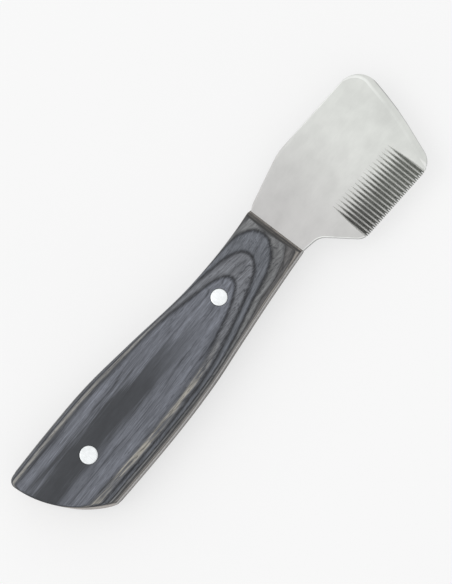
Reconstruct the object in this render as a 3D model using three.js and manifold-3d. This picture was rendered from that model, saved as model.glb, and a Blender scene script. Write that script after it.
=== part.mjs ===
// Coat and mane stripping knife: a full-tang steel blade with a grooved, toothed edge,
// two domed laminated-wood scales and two through pins.
// Millimetres. +X runs from the butt to the end of the blade, +Y towards the spine
// (the teeth are on the -Y side) and +Z up through the upper scale.
// The model is laid out from the front edge of the scales, on the blade's middle plane.

import * as THREE from 'three';
import Module from 'manifold-3d';
import { mergeVertices } from 'three/addons/utils/BufferGeometryUtils.js';

const wasm = await Module();
wasm.setup();

const { degToRad, smoothstep, lerp, clamp } = THREE.MathUtils;

// ---------------------------------------------------------------- driving dimensions

// Blade
const BLADE_THICKNESS = 2.0;
const BLADE_LENGTH = 54.55; // from the scales to the end edge, before its bend is eased
const BLADE_EDGE_ROUND = 0.35;
const SHOULDER = { x: 1.5, y: 10.45, radius: 6 };
const SPINE_APEX = { x: 18.5, y: 14.45, radius: 20 };
const TIP_CORNER = { x: BLADE_LENGTH + 1.25, y: 12.3, radius: 7.2 };
const END_BEND = { x: BLADE_LENGTH - 2.6, y: -6.0, radius: 80 };
const TOE = { x: BLADE_LENGTH - 9.35, y: -24.85, radius: 6.2 };
const HEEL = { x: 14.65, y: -23.2, radius: 4.8 };
const NECK = { x: 6.5, y: -11.9, radius: 5 };

// Ground bevel along the end edge, on the upper face
const END_BEVEL_WIDTH = 2.6;
const END_BEVEL_DEPTH = 0.6;
const END_BEVEL_CORNER_RADIUS = 3.5;
const END_BEVEL_CORNER_DROP = 3.3; // crease corner, below the tip corner
const END_BEVEL_FADE_ANGLE = 150; // direction in which the crease runs out at the spine

// Toothed edge: V-grooves run out like a wheel leaves them, and the back is relieved
const TOOTH_PITCH = 1.381;
const HEEL_LAND = 1.83; // heel corner to the first groove
const TOE_LAND = 3.2; // plain edge kept at the toe
const GROOVE_LENGTH = 14.0;
const GROOVE_DEPTH = 1.68;
const GROOVE_ANGLE = 60;
const BACK_BEVEL_WIDTH = 2.4;
const BACK_BEVEL_DEPTH = 0.62; // deep enough for the grooves to break out into teeth

// Handle
const HANDLE_LENGTH = 110.95;
const HANDLE_THICKNESS = 15.8;
const FRONT_THICKNESS = 9.6;
const THINNING_LENGTH = 51.5; // the faces curve down to the blade over this length
const LAND_WIDTH = 7.0; // flat left along the crest of each scale
const CREST_OFFSET = { rear: 0.25, front: 1.8 }; // from mid-width towards the spine
const CROWN_RADIUS = { rear: 50, front: 24 };
const EDGE_RADIUS = { rear: 4.0, front: 1.5 };
const SHAPING = { from: -80, to: -15 }; // where the section changes from rear to front
const FRONT_CROWN_RADIUS = 42; // the crown is flatter again where it meets the blade
const FLATTENING = { from: -22, to: 0 };
const FRONT_LEAN = 28; // the scales' front faces lean back from upright
const FRONT_RAKE = 1.75; // and turn this far across the blade
const BUTT_RADIUS = 36;
const BUTT_CENTRE_HEIGHT = 15.2;
const BUTT_EDGE_RADIUS = 1.5;
const SPINE_CORNER_RADIUS = 3.1;
const BELLY_CORNER_RADIUS = 2.0;

// Side outlines of the handle: share of its length from the front edge, and distance
// from the pin line.
const SPINE_OUTLINE = [
  [-0.03, 10.15],
  [0, 9.7],
  [0.07, 8.85],
  [0.17, 8.53],
  [0.3, 9.23],
  [0.5, 12.6],
  [0.66, 14.95],
  [0.82, 15.56],
  [1.04, 15.45],
];
const BELLY_OUTLINE = [
  [-0.03, -10.6],
  [0, -10.7],
  [0.1, -11.33],
  [0.3, -13.25],
  [0.44, -14.74],
  [0.59, -15.33],
  [0.76, -15.05],
  [1.04, -13.8],
];

// Through pins
const REAR_PIN = { x: -88.5, y: 0.1, radius: 2.9 };
const FRONT_PIN = { x: -26.5, y: -0.7, radius: 2.65 };
const PIN_CLEARANCE = 0.1;

// Fineness of the facets
const HANDLE_STATIONS = 36;
const CROWN_STEPS = 5;
const EDGE_STEPS = 6;
const GROOVE_STATIONS = 9;
const PIN_SIDES = 48;
const CORNER_STEP = 8; // degrees of turn for each facet of an outline's corner

// How far cutters and blanks run past what they cut
const OVERRUN = 3;
const GROOVE_LIFT = 0.4;
const BEVEL_LIFT = 0.3;
const LAND_LIFT = 0.05;
const TANG_LAP = 4;

const FACE = BLADE_THICKNESS / 2;

// ---------------------------------------------------------------- solids and geometry

function solidOf(geometry) {
  geometry.deleteAttribute('normal');
  geometry.deleteAttribute('uv');
  const welded = mergeVertices(geometry, 1e-5);
  const vertProperties = new Float32Array(welded.attributes.position.array);
  const triVerts = new Uint32Array(welded.index.array);
  return new wasm.Manifold(new wasm.Mesh({ numProp: 3, vertProperties, triVerts }));
}

function geometryOf(solid) {
  const mesh = solid.getMesh();
  const geometry = new THREE.BufferGeometry();
  geometry.setAttribute('position', new THREE.BufferAttribute(mesh.vertProperties, 3));
  geometry.setIndex(new THREE.BufferAttribute(mesh.triVerts, 1));
  return geometry;
}

// A closed skin over rings of equal point count, with a fan on each end ring.
function loft(rings) {
  const count = rings[0].length;
  const positions = rings.flat().flatMap((point) => point.toArray());
  const index = [];
  for (let r = 0; r < rings.length - 1; r += 1) {
    for (let i = 0; i < count; i += 1) {
      const a = r * count + i;
      const b = r * count + ((i + 1) % count);
      index.push(a, b, a + count, b, b + count, a + count);
    }
  }
  const last = (rings.length - 1) * count;
  for (let i = 1; i < count - 1; i += 1) {
    index.push(0, i + 1, i);
    index.push(last, last + i, last + i + 1);
  }
  const geometry = new THREE.BufferGeometry();
  geometry.setAttribute('position', new THREE.Float32BufferAttribute(positions, 3));
  geometry.setIndex(index);
  return geometry;
}

// Polygon whose corners are rounded to their own radius, as a list of Vector2.
function roundedOutline(corners) {
  const outline = [];
  corners.forEach((corner, i) => {
    const here = new THREE.Vector2(corner.x, corner.y);
    if (!corner.radius) {
      outline.push(here);
      return;
    }
    const before = corners[(i + corners.length - 1) % corners.length];
    const after = corners[(i + 1) % corners.length];
    const back = new THREE.Vector2(before.x, before.y).sub(here);
    const ahead = new THREE.Vector2(after.x, after.y).sub(here);
    const room = Math.min(
      back.length() * (before.radius ? 0.5 : 1),
      ahead.length() * (after.radius ? 0.5 : 1),
    );
    const turn = Math.PI - back.angleTo(ahead);
    const setback = Math.min(corner.radius * Math.tan(turn / 2), room);
    const radius = setback / Math.tan(turn / 2);
    back.normalize();
    ahead.normalize();
    const toCentre = back.clone().add(ahead).normalize();
    const centre = here.clone().addScaledVector(toCentre, radius / Math.cos(turn / 2));
    const start = here.clone().addScaledVector(back, setback).sub(centre);
    const side = Math.sign(ahead.cross(back));
    const steps = Math.max(2, Math.ceil(turn / degToRad(CORNER_STEP)));
    for (let k = 0; k <= steps; k += 1) {
      const point = start.clone().rotateAround(new THREE.Vector2(), (side * turn * k) / steps);
      outline.push(point.add(centre));
    }
  });
  return outline;
}

// Smooth height over x through a short list of [x, y] knots, in rising order of x.
function smoothThrough(knots) {
  const slopes = knots.map((knot, i) => {
    const before = knots[Math.max(i - 1, 0)];
    const after = knots[Math.min(i + 1, knots.length - 1)];
    return (after[1] - before[1]) / (after[0] - before[0]);
  });
  return (x) => {
    const found = knots.findIndex((knot) => knot[0] > x);
    const i = (found < 0 ? knots.length : Math.max(found, 1)) - 1;
    const j = clamp(i, 0, knots.length - 2);
    const span = knots[j + 1][0] - knots[j][0];
    const t = (x - knots[j][0]) / span;
    const rise = knots[j + 1][1] - knots[j][1];
    const bend = (1 - t) * (slopes[j] * span - rise) - t * (slopes[j + 1] * span - rise);
    return knots[j][1] + t * rise + t * (1 - t) * bend;
  };
}

const across = (share) => -share * HANDLE_LENGTH;
const knotsAlongX = (outline) => outline.map(([share, y]) => [across(share), y]).reverse();
const spineAt = smoothThrough(knotsAlongX(SPINE_OUTLINE));
const bellyAt = smoothThrough(knotsAlongX(BELLY_OUTLINE));

// ---------------------------------------------------------------- handle

const shapingAt = (x) => smoothstep(x, SHAPING.from, SHAPING.to);
const blendAt = (x, size) => lerp(size.rear, size.front, shapingAt(x));

function crownAt(x) {
  const flattening = smoothstep(x, FLATTENING.from, FLATTENING.to);
  return lerp(blendAt(x, CROWN_RADIUS), FRONT_CROWN_RADIUS, flattening);
}

// Height of the flat land above the middle plane.
function landHeightAt(x) {
  const share = Math.max(0, (x + THINNING_LENGTH) / THINNING_LENGTH);
  return (HANDLE_THICKNESS - (HANDLE_THICKNESS - FRONT_THICKNESS) * share ** 2) / 2;
}

// Upper half of the section at x, from the spine wall over the crest to the belly wall:
// on each side an edge radius rolls into the crown, which ends at the flat land.
function upperSection(x) {
  const crest = (spineAt(x) + bellyAt(x)) / 2 + blendAt(x, CREST_OFFSET);
  const crown = crownAt(x);
  const edge = blendAt(x, EDGE_RADIUS);
  const crownCentre = landHeightAt(x) - Math.sqrt(crown ** 2 - (LAND_WIDTH / 2) ** 2);
  const landAngle = Math.asin(LAND_WIDTH / 2 / crown);
  const sideFrom = (wall, towards) => {
    const reach = Math.abs(wall - crest) - edge;
    const meet = Math.asin(reach / (crown - edge));
    const edgeCentre = crownCentre + (crown - edge) * Math.cos(meet);
    const points = [];
    for (let k = 0; k <= EDGE_STEPS; k += 1) {
      const angle = lerp(Math.PI / 2, meet, k / EDGE_STEPS);
      const y = crest + towards * (reach + edge * Math.sin(angle));
      points.push(new THREE.Vector3(x, y, edgeCentre + edge * Math.cos(angle)));
    }
    for (let k = 1; k <= CROWN_STEPS; k += 1) {
      const angle = lerp(meet, landAngle, k / CROWN_STEPS);
      const y = crest + towards * crown * Math.sin(angle);
      points.push(new THREE.Vector3(x, y, crownCentre + crown * Math.cos(angle)));
    }
    return points;
  };
  return [...sideFrom(spineAt(x), 1), ...sideFrom(bellyAt(x), -1).reverse()];
}

function handleSection(x) {
  const upper = upperSection(x);
  const lower = upper.map((point) => new THREE.Vector3(x, point.y, -point.z)).reverse();
  return [...upper, ...lower];
}

function stationsAlongHandle() {
  const stations = [];
  for (let k = 0; k <= HANDLE_STATIONS; k += 1) {
    stations.push(lerp(-HANDLE_LENGTH - OVERRUN, OVERRUN, k / HANDLE_STATIONS));
  }
  return stations;
}

// Everything in front of the butt's arc, with the butt's rounded edge above and below.
// Its sides stand clear of the handle and leave it at the two corners of the butt.
function buttTrim() {
  const centre = { x: BUTT_RADIUS - HANDLE_LENGTH, y: BUTT_CENTRE_HEIGHT };
  const spineCorner = { x: -HANDLE_LENGTH, y: spineAt(-HANDLE_LENGTH) };
  const arcAt = (angle) => ({
    x: centre.x + BUTT_RADIUS * Math.cos(angle),
    y: centre.y + BUTT_RADIUS * Math.sin(angle),
  });
  let reach = Math.PI * 1.1;
  while (arcAt(reach).y > bellyAt(arcAt(reach).x)) {
    reach += degToRad(0.25);
  }
  const arc = [];
  const arcSteps = 20;
  const from = Math.PI + Math.asin((1.6 * SPINE_CORNER_RADIUS) / BUTT_RADIUS);
  for (let k = 0; k < arcSteps; k += 1) {
    arc.push(arcAt(lerp(from, reach, k / arcSteps)));
  }
  const clear = BLADE_LENGTH + OVERRUN;
  const outline = roundedOutline([
    { x: clear, y: spineCorner.y + 0.06 * (clear - spineCorner.x) },
    { ...spineCorner, radius: SPINE_CORNER_RADIUS },
    ...arc,
    { ...arcAt(reach), radius: BELLY_CORNER_RADIUS },
    { x: clear, y: arcAt(reach).y - 0.1 * (clear - arcAt(reach).x) },
  ]);
  const depth = HANDLE_THICKNESS + 2 * LAND_LIFT - 2 * BUTT_EDGE_RADIUS;
  const geometry = new THREE.ExtrudeGeometry(new THREE.Shape(outline), {
    depth,
    bevelSize: BUTT_EDGE_RADIUS,
    bevelThickness: BUTT_EDGE_RADIUS,
    bevelOffset: -BUTT_EDGE_RADIUS,
    bevelSegments: 4,
  });
  return solidOf(geometry.translate(0, 0, -depth / 2));
}

const trim = buttTrim();
const handle = solidOf(loft(stationsAlongHandle().map(handleSection))).intersect(trim);

function cylinderAt({ x, y }, radius) {
  const geometry = new THREE.CylinderGeometry(radius, radius, 2 * HANDLE_THICKNESS, PIN_SIDES);
  return solidOf(geometry.rotateX(Math.PI / 2).translate(x, y, 0));
}

const pin = (place) => cylinderAt(place, place.radius).intersect(handle);
const pinBore = (place) => cylinderAt(place, place.radius + PIN_CLEARANCE);

// Block that leaves one scale: it takes away the tang's space, the other scale and all
// that lies in front of the leaning front face. side is 1 for the upper scale.
function scaleCutter(side) {
  const lean = Math.tan(degToRad(FRONT_LEAN));
  const top = HANDLE_THICKNESS;
  const back = -HANDLE_LENGTH - 2 * OVERRUN;
  const profile = new THREE.Shape([
    new THREE.Vector2(back, -top),
    new THREE.Vector2(2 * top, -top),
    new THREE.Vector2(2 * top, top),
    new THREE.Vector2(-lean * (top - FACE), top),
    new THREE.Vector2(0, FACE),
    new THREE.Vector2(back, FACE),
  ]);
  const width = 4 * HANDLE_THICKNESS;
  const geometry = new THREE.ExtrudeGeometry(profile, { depth: width, bevelEnabled: false });
  geometry.translate(0, 0, -width / 2).rotateX(Math.PI / 2).rotateZ(degToRad(FRONT_RAKE));
  const block = solidOf(geometry);
  return side > 0 ? block : block.mirror([0, 0, 1]);
}

function scale(side) {
  return handle.subtract(scaleCutter(side)).subtract(pinBore(REAR_PIN)).subtract(pinBore(FRONT_PIN));
}

// ---------------------------------------------------------------- blade and tang

function plate(outline, round) {
  const depth = BLADE_THICKNESS - 2 * round;
  const geometry = new THREE.ExtrudeGeometry(new THREE.Shape(outline), {
    depth,
    bevelEnabled: round > 0,
    bevelSize: round,
    bevelThickness: round,
    bevelOffset: -round,
    bevelSegments: 2,
  });
  return solidOf(geometry.translate(0, 0, -depth / 2));
}

function bladeHead() {
  const lap = TANG_LAP;
  return plate(
    roundedOutline([
      { x: -lap, y: bellyAt(0) + lap },
      { x: 0, y: bellyAt(0) },
      NECK,
      HEEL,
      TOE,
      END_BEND,
      TIP_CORNER,
      SPINE_APEX,
      SHOULDER,
      { x: 0, y: spineAt(0) },
      { x: -lap, y: spineAt(0) - lap },
    ]),
    BLADE_EDGE_ROUND,
  );
}

// The tang has the handle's own outline, so its edge shows between the scales.
function tang() {
  const stations = stationsAlongHandle().filter((x) => x < 0);
  const xs = [...stations, 0];
  const spine = xs.map((x) => new THREE.Vector2(x, spineAt(x))).reverse();
  const belly = xs.map((x) => new THREE.Vector2(x, bellyAt(x)));
  return plate([...belly, ...spine], 0).intersect(trim);
}

const toothedEdgeAt = (x) => lerp(HEEL.y, TOE.y, (x - HEEL.x) / (TOE.x - HEEL.x));

// One V-groove, as a wheel of the radius that this depth and length give would cut it:
// deepest at the edge, rising out of the face inwards.
function grooveCutter(x) {
  const wheel = (GROOVE_LENGTH ** 2 + GROOVE_DEPTH ** 2) / (2 * GROOVE_DEPTH);
  const slope = Math.tan(degToRad(GROOVE_ANGLE / 2));
  const inner = Math.sqrt(wheel ** 2 - (wheel - GROOVE_DEPTH - 0.8 * GROOVE_LIFT) ** 2);
  const rings = [];
  for (let k = 0; k <= GROOVE_STATIONS; k += 1) {
    const inwards = lerp(-OVERRUN, inner, k / GROOVE_STATIONS);
    const depth = GROOVE_DEPTH - wheel + Math.sqrt(wheel ** 2 - inwards ** 2);
    const half = (depth + GROOVE_LIFT) * slope;
    const y = toothedEdgeAt(x) + inwards;
    rings.push([
      new THREE.Vector3(x, y, FACE - depth),
      new THREE.Vector3(x - half, y, FACE + GROOVE_LIFT),
      new THREE.Vector3(x + half, y, FACE + GROOVE_LIFT),
    ]);
  }
  return solidOf(loft(rings));
}

function grooves() {
  const first = HEEL.x + HEEL_LAND;
  const count = Math.floor((TOE.x - TOE_LAND - first) / TOOTH_PITCH) + 1;
  const cutters = Array.from({ length: count }, (_, k) => grooveCutter(first + k * TOOTH_PITCH));
  return wasm.Manifold.union(cutters);
}

// Wedge under the toothed edge that thins it from the back.
function backBevelCutter() {
  const slope = BACK_BEVEL_DEPTH / BACK_BEVEL_WIDTH;
  const out = 2 * OVERRUN;
  const profile = new THREE.Shape([
    new THREE.Vector2(BACK_BEVEL_WIDTH + out, -FACE - slope * out),
    new THREE.Vector2(-out, -FACE + slope * (BACK_BEVEL_WIDTH + out)),
    new THREE.Vector2(-out, -FACE - slope * out - OVERRUN),
  ]);
  const along = new THREE.Vector3(TOE.x - HEEL.x, TOE.y - HEEL.y, 0).normalize();
  const up = new THREE.Vector3(0, 0, 1);
  const inwards = new THREE.Vector3().crossVectors(up, along);
  const length = TOE.x - HEEL.x + 4 * out;
  const frame = new THREE.Matrix4().makeBasis(inwards, up, along);
  frame.setPosition(HEEL.x - 2 * out * along.x, HEEL.y - 2 * out * along.y, 0);
  const geometry = new THREE.ExtrudeGeometry(profile, { depth: length, bevelEnabled: false });
  return solidOf(geometry.applyMatrix4(frame));
}

// Body whose upper rim slopes down outside the crease line: what it shares with the
// blade keeps the ground bevel along the end edge.
function endBevelKeeper() {
  const slope = END_BEVEL_DEPTH / END_BEVEL_WIDTH;
  const inset = END_BEVEL_WIDTH + BEVEL_LIFT / slope;
  const cornerY = TIP_CORNER.y - END_BEVEL_CORNER_DROP;
  const rise = (cornerY - END_BEND.y) / (TIP_CORNER.y - END_BEND.y);
  const corner = { x: lerp(END_BEND.x, TIP_CORNER.x, rise) - inset, y: cornerY };
  const run = 2 * (END_BEND.y - TOE.y);
  const fade = degToRad(END_BEVEL_FADE_ANGLE);
  const past = BLADE_LENGTH + HANDLE_LENGTH;
  const outline = roundedOutline([
    { x: -past, y: -2 * past },
    { x: lerp(END_BEND.x, TOE.x, 4) - inset, y: END_BEND.y - 2 * run },
    { x: END_BEND.x - inset, y: END_BEND.y, radius: END_BEND.radius },
    { ...corner, radius: END_BEVEL_CORNER_RADIUS },
    { x: corner.x + past * Math.cos(fade), y: corner.y + past * Math.sin(fade) },
    { x: -past, y: past },
  ]);
  const reach = 3 * inset;
  const geometry = new THREE.ExtrudeGeometry(new THREE.Shape(outline), {
    depth: 2 * HANDLE_THICKNESS,
    bevelSize: reach,
    bevelThickness: reach * slope,
    bevelSegments: 1,
  });
  const top = 2 * HANDLE_THICKNESS + reach * slope;
  return solidOf(geometry.translate(0, 0, FACE + BEVEL_LIFT - top));
}

function blade() {
  return bladeHead()
    .intersect(endBevelKeeper())
    .subtract(backBevelCutter())
    .subtract(grooves())
    .add(tang())
    .subtract(pinBore(REAR_PIN))
    .subtract(pinBore(FRONT_PIN));
}

// ---------------------------------------------------------------- assembly

const steel = new THREE.MeshStandardMaterial({ color: 0xc4c5c1, metalness: 1, roughness: 0.38 });
const pinMetal = new THREE.MeshStandardMaterial({ color: 0xe4e6e7, metalness: 1, roughness: 0.3 });
const laminate = new THREE.MeshStandardMaterial({ color: 0x5d5f66, metalness: 0, roughness: 0.5 });

function part(name, solid, material) {
  const mesh = new THREE.Mesh(geometryOf(solid), material.clone());
  mesh.name = name;
  return mesh;
}

const knife = new THREE.Group();
knife.add(part('blade', blade(), steel));
knife.add(part('front_scale', scale(1), laminate));
knife.add(part('back_scale', scale(-1), laminate));
knife.add(part('rear_pin', pin(REAR_PIN), pinMetal));
knife.add(part('front_pin', pin(FRONT_PIN), pinMetal));

// The origin is under the middle of the knife, on the plane that it lies on.
const bounds = new THREE.Box3().setFromObject(knife);
const middle = bounds.getCenter(new THREE.Vector3());
knife.position.set(-middle.x, -middle.y, -bounds.min.z);

export default knife;
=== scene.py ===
"""Coat and mane stripping knife: laminated wood scales, satin steel blade and ground pins.

Shapes are worked out in millimetres in the knife's own layout, whose x is 0 at the front
edge of the scales, y at the line of the pins and z at the middle plane of the blade, and
are written to the meshes in metres in the row's frame.
"""

import math

import bmesh
import bpy
import numpy as np
from mathutils import Matrix, Vector


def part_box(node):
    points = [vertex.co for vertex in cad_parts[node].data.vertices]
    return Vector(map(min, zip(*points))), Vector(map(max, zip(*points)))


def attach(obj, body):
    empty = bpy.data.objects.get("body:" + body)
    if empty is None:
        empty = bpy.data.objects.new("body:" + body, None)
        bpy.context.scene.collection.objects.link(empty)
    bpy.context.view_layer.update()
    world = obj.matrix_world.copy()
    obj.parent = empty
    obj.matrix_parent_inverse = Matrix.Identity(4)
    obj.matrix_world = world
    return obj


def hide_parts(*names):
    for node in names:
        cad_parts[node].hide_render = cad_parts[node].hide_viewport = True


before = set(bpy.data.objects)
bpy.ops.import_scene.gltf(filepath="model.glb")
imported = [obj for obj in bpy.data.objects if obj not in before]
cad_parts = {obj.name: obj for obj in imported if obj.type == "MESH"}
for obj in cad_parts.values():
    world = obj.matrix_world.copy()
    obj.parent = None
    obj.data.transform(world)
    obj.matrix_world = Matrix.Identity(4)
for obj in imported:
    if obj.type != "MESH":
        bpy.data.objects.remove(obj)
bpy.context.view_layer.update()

MM = 0.001

# ------------------------------------------------------------ sizes, as in the CAD source

FACE = 1.0  # half of the blade's thickness
HANDLE_LENGTH = 110.95
HANDLE_THICKNESS = 15.8
FRONT_THICKNESS = 9.6
THINNING_LENGTH = 51.5
LAND_WIDTH = 7.0
CREST_OFFSET = (0.25, 1.8)
CROWN_RADIUS = (50.0, 24.0)
FRONT_CROWN_RADIUS = 42.0
EDGE_RADIUS = (4.0, 1.5)
SHAPING = (-80.0, -15.0)
FLATTENING = (-22.0, 0.0)
LAND_ROUNDING = (-52, -32)  # the flat land goes over into a rounded crest here
FRONT_LEAN = math.radians(28)
FRONT_RAKE = math.radians(1.75)
BUTT_RADIUS = 36.0
BUTT_INSET = 0.08  # keeps the smooth butt within the solids' flat facets
BUTT_CENTRE = (BUTT_RADIUS - HANDLE_LENGTH + BUTT_INSET, 15.2)
BUTT_EDGE_RADIUS = 1.1
SPINE_CORNER_RADIUS = 3.1
BELLY_CORNER_RADIUS = 2.0
SPINE_OUTLINE = [
    (-0.03, 10.15),
    (0, 9.7),
    (0.07, 8.85),
    (0.17, 8.53),
    (0.3, 9.23),
    (0.5, 12.6),
    (0.66, 14.95),
    (0.82, 15.56),
    (1.04, 15.45),
]
BELLY_OUTLINE = [
    (-0.03, -10.6),
    (0, -10.7),
    (0.1, -11.33),
    (0.3, -13.25),
    (0.44, -14.74),
    (0.59, -15.33),
    (0.76, -15.05),
    (1.04, -13.8),
]
REAR_PIN = (-88.5, 0.1, 2.9)
FRONT_PIN = (-26.5, -0.7, 2.65)
PIN_CLEARANCE = 0.1

# The layout's origin in the row's frame, from the rear pin and the blade.
pin_low, pin_high = (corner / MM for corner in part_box("rear_pin"))
blade_low, blade_high = (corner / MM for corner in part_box("blade"))
OFFSET = np.array(
    [
        (pin_low.x + pin_high.x) / 2 - REAR_PIN[0],
        (pin_low.y + pin_high.y) / 2 - REAR_PIN[1],
        (blade_low.z + blade_high.z) / 2,
    ]
)

# ------------------------------------------------------------ the handle's surface


def smoothstep(value, low, high):
    t = np.clip((value - low) / (high - low), 0, 1)
    return t * t * (3 - 2 * t)


def smooth_through(outline):
    """Smooth height over x through knots given as (share of handle length, y)."""
    knots = np.array([(-share * HANDLE_LENGTH, y) for share, y in reversed(outline)])
    x, y = knots.T
    before = np.maximum(np.arange(len(x)) - 1, 0)
    after = np.minimum(np.arange(len(x)) + 1, len(x) - 1)
    slope = (y[after] - y[before]) / (x[after] - x[before])

    def height(at):
        j = np.clip(np.searchsorted(x, at, side="right") - 1, 0, len(x) - 2)
        span = x[j + 1] - x[j]
        t = (at - x[j]) / span
        rise = y[j + 1] - y[j]
        bend = (1 - t) * (slope[j] * span - rise) - t * (slope[j + 1] * span - rise)
        return y[j] + t * rise + t * (1 - t) * bend

    return height


spine_at = smooth_through(SPINE_OUTLINE)
belly_at = smooth_through(BELLY_OUTLINE)


def blend_at(x, pair):
    share = smoothstep(x, *SHAPING)
    return pair[0] + (pair[1] - pair[0]) * share


def crown_at(x):
    crown = blend_at(x, CROWN_RADIUS)
    return crown + (FRONT_CROWN_RADIUS - crown) * smoothstep(x, *FLATTENING)


def land_height(x):
    share = np.maximum(0, (x + THINNING_LENGTH) / THINNING_LENGTH)
    return (HANDLE_THICKNESS - (HANDLE_THICKNESS - FRONT_THICKNESS) * share**2) / 2


def crest_at(x):
    return (spine_at(x) + belly_at(x)) / 2 + blend_at(x, CREST_OFFSET)


def domed_height(x, y):
    """Height of the rolled edges, the crown and the flat land above the middle plane."""
    crown = crown_at(x)
    edge = blend_at(x, EDGE_RADIUS)
    crest = crest_at(x)
    wall = np.where(y > crest, spine_at(x), belly_at(x))
    off = np.abs(y - crest)
    reach = np.abs(wall - crest) - edge
    centre = land_height(x) - np.sqrt(crown**2 - (LAND_WIDTH / 2) ** 2)
    meet = np.arcsin(reach / (crown - edge))
    edge_centre = centre + (crown - edge) * np.cos(meet)
    on_crown = centre + np.sqrt(np.maximum(crown**2 - off**2, 0))
    on_edge = edge_centre + np.sqrt(np.maximum(edge**2 - (off - reach) ** 2, 0))
    height = np.where(off < crown * np.sin(meet), on_crown, on_edge)
    rounding = LAND_WIDTH**2 / (8 * crown) * smoothstep(x, *LAND_ROUNDING)
    on_land = land_height(x) + rounding * (1 - (2 * off / LAND_WIDTH) ** 2)
    return np.where(off < LAND_WIDTH / 2, on_land, height) - rounding / 2


CORNER_PASSES = 200


def corner_centre(wall_at, side, radius):
    """Centre of the circle that touches the butt's arc and a wall from inside."""
    centre_x, centre_y = BUTT_CENTRE
    x = centre_x - BUTT_RADIUS
    for _ in range(CORNER_PASSES):
        y = wall_at(x) - side * radius
        reach = (BUTT_RADIUS - radius) ** 2 - (y - centre_y) ** 2
        x = centre_x - math.sqrt(reach)
    return float(x), float(y)


SPINE_CORNER = corner_centre(spine_at, 1, SPINE_CORNER_RADIUS)
BELLY_CORNER = corner_centre(belly_at, -1, BELLY_CORNER_RADIUS)


def touch_point(corner, radius):
    """Where a rounded corner runs into the butt's arc."""
    outward = np.array(corner) - np.array(BUTT_CENTRE)
    return np.array(corner) + radius * outward / np.linalg.norm(outward)


SPINE_TOUCH = touch_point(SPINE_CORNER, SPINE_CORNER_RADIUS)
BELLY_TOUCH = touch_point(BELLY_CORNER, BELLY_CORNER_RADIUS)


def rounded_wall(x, wall_at, side, corner, radius, touch):
    """A side wall whose end is rounded into the butt."""
    along = np.maximum(x, touch[0])
    on_corner = corner[1] + side * np.sqrt(np.maximum(radius**2 - (along - corner[0]) ** 2, 0))
    return np.where(along < corner[0], on_corner, wall_at(along))


def spine_wall(x):
    return rounded_wall(x, spine_at, 1, SPINE_CORNER, SPINE_CORNER_RADIUS, SPINE_TOUCH)


def belly_wall(x):
    return rounded_wall(x, belly_at, -1, BELLY_CORNER, BELLY_CORNER_RADIUS, BELLY_TOUCH)


def butt_x(y):
    return BUTT_CENTRE[0] - np.sqrt(BUTT_RADIUS**2 - (y - BUTT_CENTRE[1]) ** 2)


def butt_distance(x, y):
    """Distance to the butt's outline, corners included, for points inside it."""
    from_centre = np.hypot(x - BUTT_CENTRE[0], y - BUTT_CENTRE[1])
    distance = np.where(x < BUTT_CENTRE[0], BUTT_RADIUS - from_centre, BUTT_RADIUS)
    for corner, radius, side in (
        (SPINE_CORNER, SPINE_CORNER_RADIUS, 1),
        (BELLY_CORNER, BELLY_CORNER_RADIUS, -1),
    ):
        across = side * (y - corner[1])
        ahead = x - corner[0]
        normal = np.array(corner) - np.array(BUTT_CENTRE)
        turned = ahead * normal[1] - (y - corner[1]) * normal[0]
        in_corner = (turned * side > 0) & (across > 0)
        round_distance = np.where(
            ahead < 0,
            radius - np.hypot(ahead, across),
            np.hypot(ahead, radius - across),
        )
        distance = np.where(in_corner, round_distance, distance)
    return np.maximum(distance, 0)


def top_height(x, y):
    """The upper surface of the handle, with its edge at the butt eased."""
    inset = np.minimum(butt_distance(x, y), BUTT_EDGE_RADIUS)
    drop = BUTT_EDGE_RADIUS - np.sqrt(BUTT_EDGE_RADIUS**2 - (BUTT_EDGE_RADIUS - inset) ** 2)
    return domed_height(x, y) - drop


# ------------------------------------------------------------ meshes

EDGE_STEPS = 10
EDGE_SHARE = 0.25  # the columns of an edge take no more than this share of the width
CROWN_COLUMNS = 31
LENGTH_STEP = 0.55  # between rows, mm
CORNER_STEPS = 16
WALL_STEPS = 6
FRONT_EASE = 0.16  # eased edge round the front face, mm
FRONT_EASE_SHARE = 0.6  # the most of its row that the easing takes
LEAN_REACH = 16.0  # the rows lean with the front face over this length, mm
FAN_PASSES = 80
LEAN_PASSES = 12
PIN_SECTORS = 96
PIN_RINGS = 8
PIN_RIM = 0.12  # eased edge of a pin, mm
SHARP_ANGLE = 30
PIN_SHARP_ANGLE = 60
BLADE_SHARP_ANGLE = 24
WELD_DISTANCE = 0.001  # mm
DEPTH_MARK = "below_dome"


def to_row(points):
    return (np.asarray(points, float) + OFFSET) * MM


def new_piece(name, points, faces, sharp_angle=SHARP_ANGLE):
    mesh = bpy.data.meshes.new(name)
    mesh.from_pydata([tuple(p) for p in to_row(points)], [], faces)
    mesh.validate()
    piece = bpy.data.objects.new(name, mesh)
    bpy.context.scene.collection.objects.link(piece)
    shade(piece, sharp_angle)
    return piece


def shade(piece, sharp_angle=SHARP_ANGLE):
    piece.data.shade_smooth()
    piece.data.set_sharp_from_angle(angle=math.radians(sharp_angle))


def side_shares():
    """How the columns divide a section, as distances from its wall in edge radii."""
    steps = np.linspace(0, math.pi / 2, EDGE_STEPS + 1)
    return 1 - np.cos(steps)


def column_places(x):
    """y of every column of the section at x, from the spine wall to the belly wall."""
    spine = spine_wall(x)[..., None]
    belly = belly_wall(x)[..., None]
    edge = np.minimum(blend_at(x, EDGE_RADIUS)[..., None], EDGE_SHARE * (spine - belly))
    inset = side_shares() * edge
    between = np.linspace(0, 1, CROWN_COLUMNS + 2)[1:-1]
    top = spine - edge
    low = belly + edge
    return np.concatenate(
        [spine - inset, top + (low - top) * between, (belly + inset)[..., ::-1]], axis=-1
    )


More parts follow.
